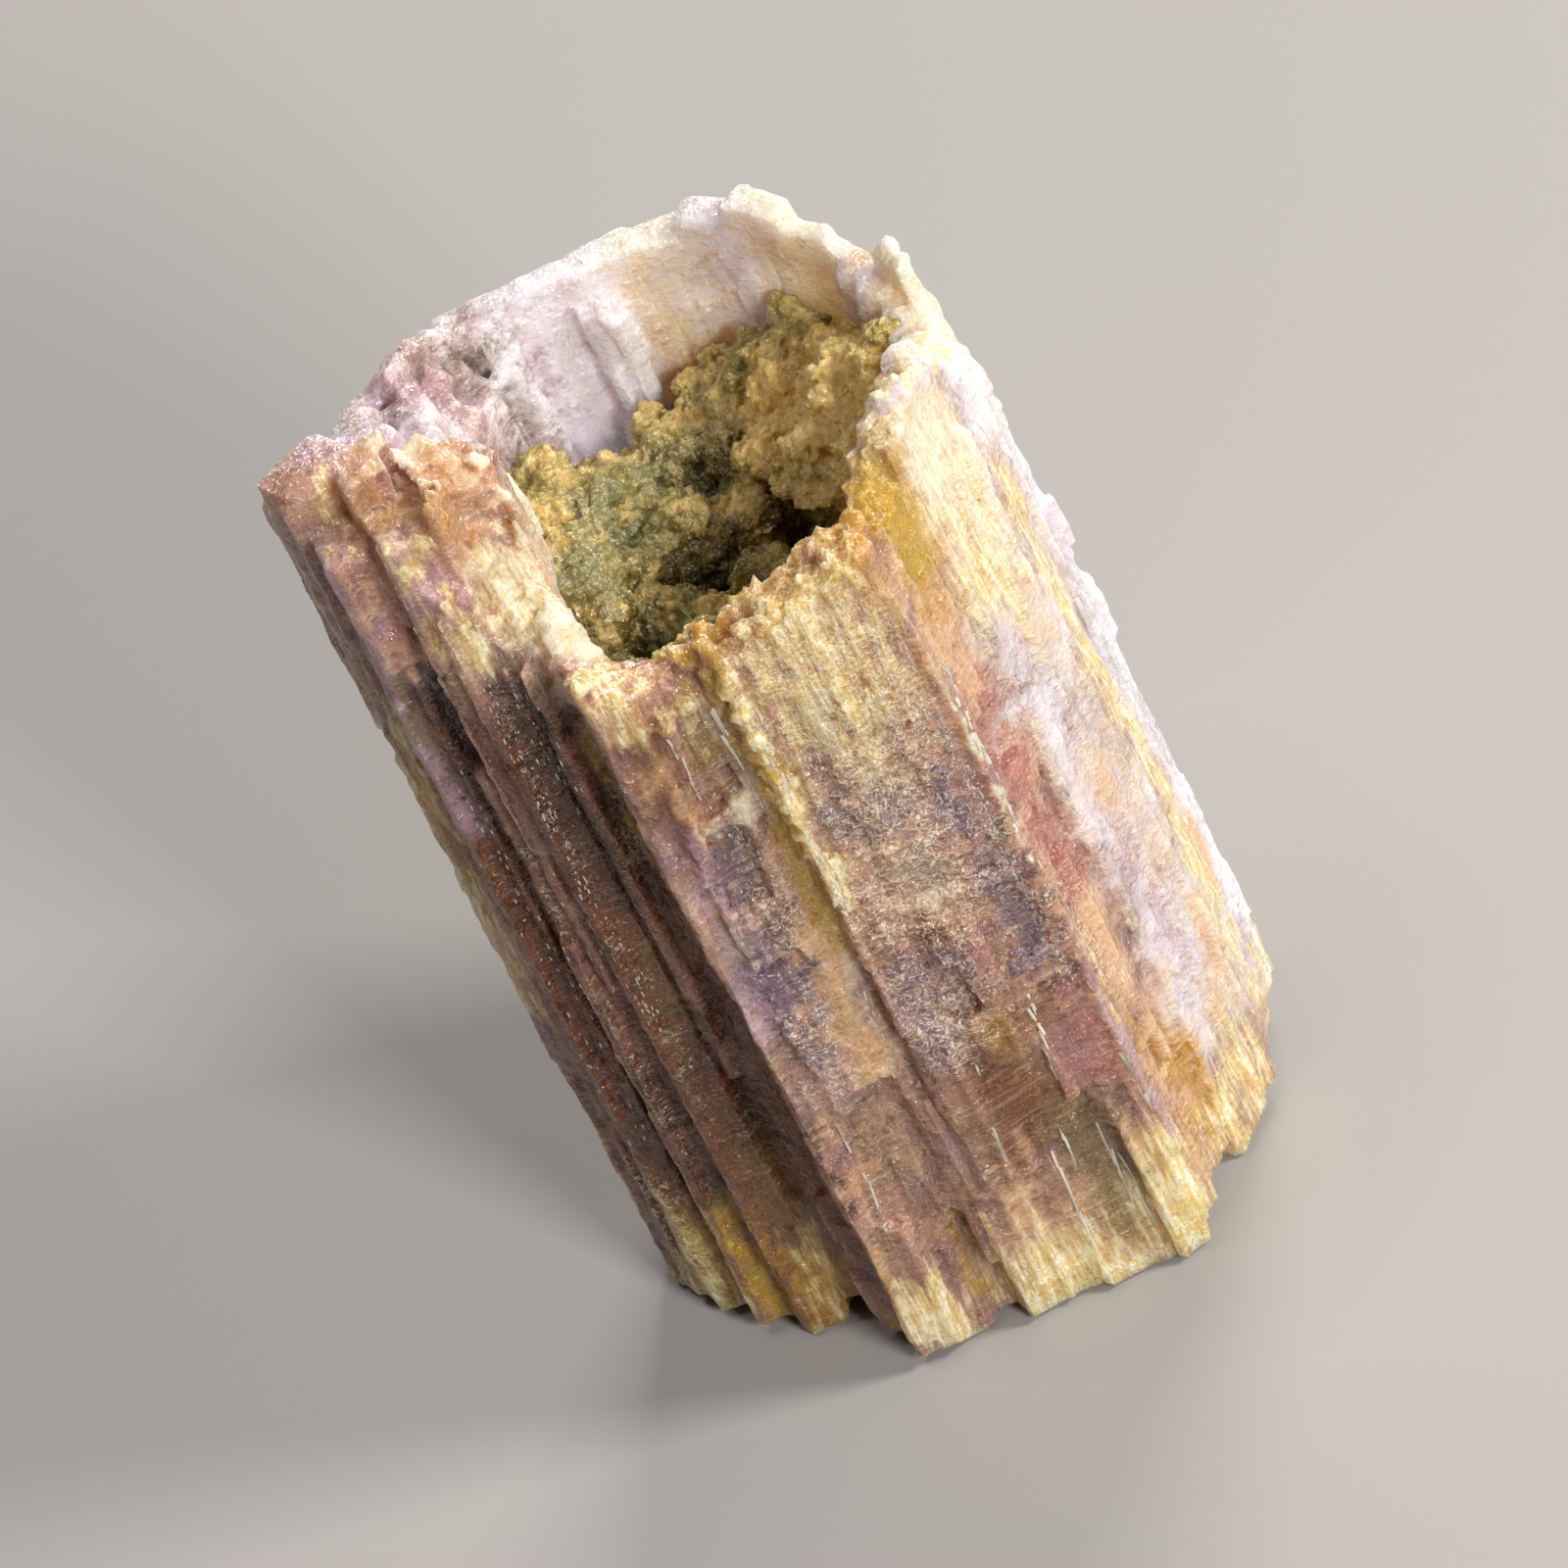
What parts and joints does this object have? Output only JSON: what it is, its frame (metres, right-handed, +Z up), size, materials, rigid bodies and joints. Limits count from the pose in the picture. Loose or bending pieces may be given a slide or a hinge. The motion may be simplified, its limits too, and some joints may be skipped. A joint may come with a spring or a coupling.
{
  "type": "aragonite crystal",
  "caption": "Standing twinned aragonite prism: a bundle of upright columns with stepped ends and a crusted hollow in its top.",
  "frame": {"origin": "centre of the bounding box's bottom, on the surface that the crystal stands on", "axes": "+Z up along the columns, -Y towards the front face with the crack, +X to the right of it"},
  "size_m": [0.0266, 0.0234, 0.0469],
  "materials": {
    "crystal": "translucent mauve, rose and cream columns with gold at the rim and in the cracks, satin with fine glints",
    "crust": "rough nodular olive and gold crust, matt with small glints"
  },
  "bodies": {
    "root": {"aragonite_crystal": "crystal", "hollow_crust": "crust"}
  },
  "joints": []
}
